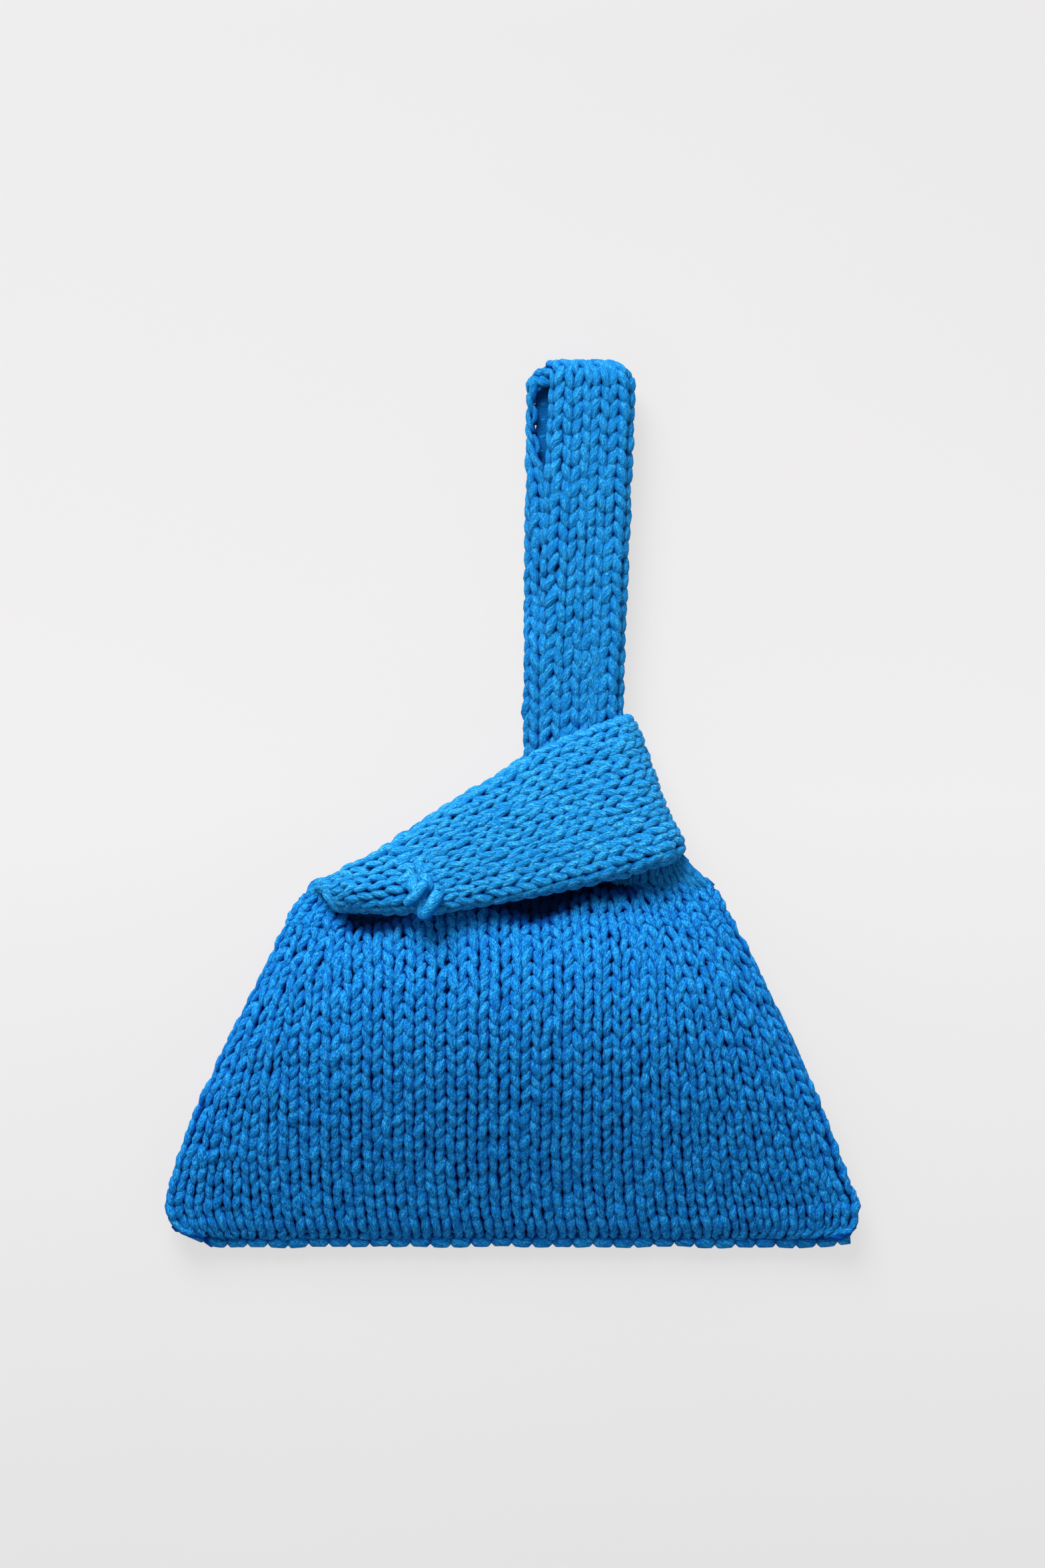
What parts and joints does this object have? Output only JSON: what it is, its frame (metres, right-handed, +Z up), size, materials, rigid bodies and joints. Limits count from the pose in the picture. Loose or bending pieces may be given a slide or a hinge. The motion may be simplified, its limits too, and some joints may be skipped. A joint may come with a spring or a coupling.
{
  "type": "knitted knot bag",
  "caption": "Soft knitted bag with a short shoulder loop threaded over a long loop handle to close the mouth, lying on its back.",
  "frame": {"origin": "on the floor under the middle of the overall box of the bag lying on its back", "axes": "+X along the base to the right as seen from the front, +Y from the base to the long handle, +Z up from the floor through the front panel"},
  "size_m": [0.33, 0.422, 0.0562],
  "materials": {
    "knit": "matt knitted cotton tape",
    "seam_yarn": "matt cotton tape"
  },
  "bodies": {
    "bag": {"front_panel": "knit", "back_panel": "knit", "base_seam": "seam_yarn", "left_side_seam": "seam_yarn", "right_side_seam": "seam_yarn", "front_mouth_edge": "seam_yarn", "back_mouth_edge": "seam_yarn", "short_handle_front_root": "knit", "short_handle_back_root": "knit", "short_handle_front_flex": "knit", "short_handle_back_flex": "knit", "long_handle_front_root": "knit", "long_handle_back_root": "knit", "long_handle_front_flex": "knit", "long_handle_back_flex": "knit"},
    "short_loop": {"short_handle_band": "knit", "short_handle_graft": "seam_yarn", "tie_off_knot": "seam_yarn"},
    "long_handle": {"long_handle_band": "knit", "long_handle_graft": "seam_yarn", "long_handle_back_strap": "knit"}
  },
  "joints": [
    {"name": "short_loop_slide", "type": "slide", "parent": "bag", "child": "short_loop", "axis": [0, 1, 0], "range_m": [0, 0.02], "deforming": ["short_handle_front_flex", "short_handle_back_flex"]},
    {"name": "long_handle_fold", "type": "hinge", "parent": "bag", "child": "long_handle", "pos_m": [0.0355, 0.081, 0.014], "axis": [1, 0, 0], "range_deg": [0, 120], "deforming": ["long_handle_front_flex", "long_handle_back_flex"]}
  ]
}
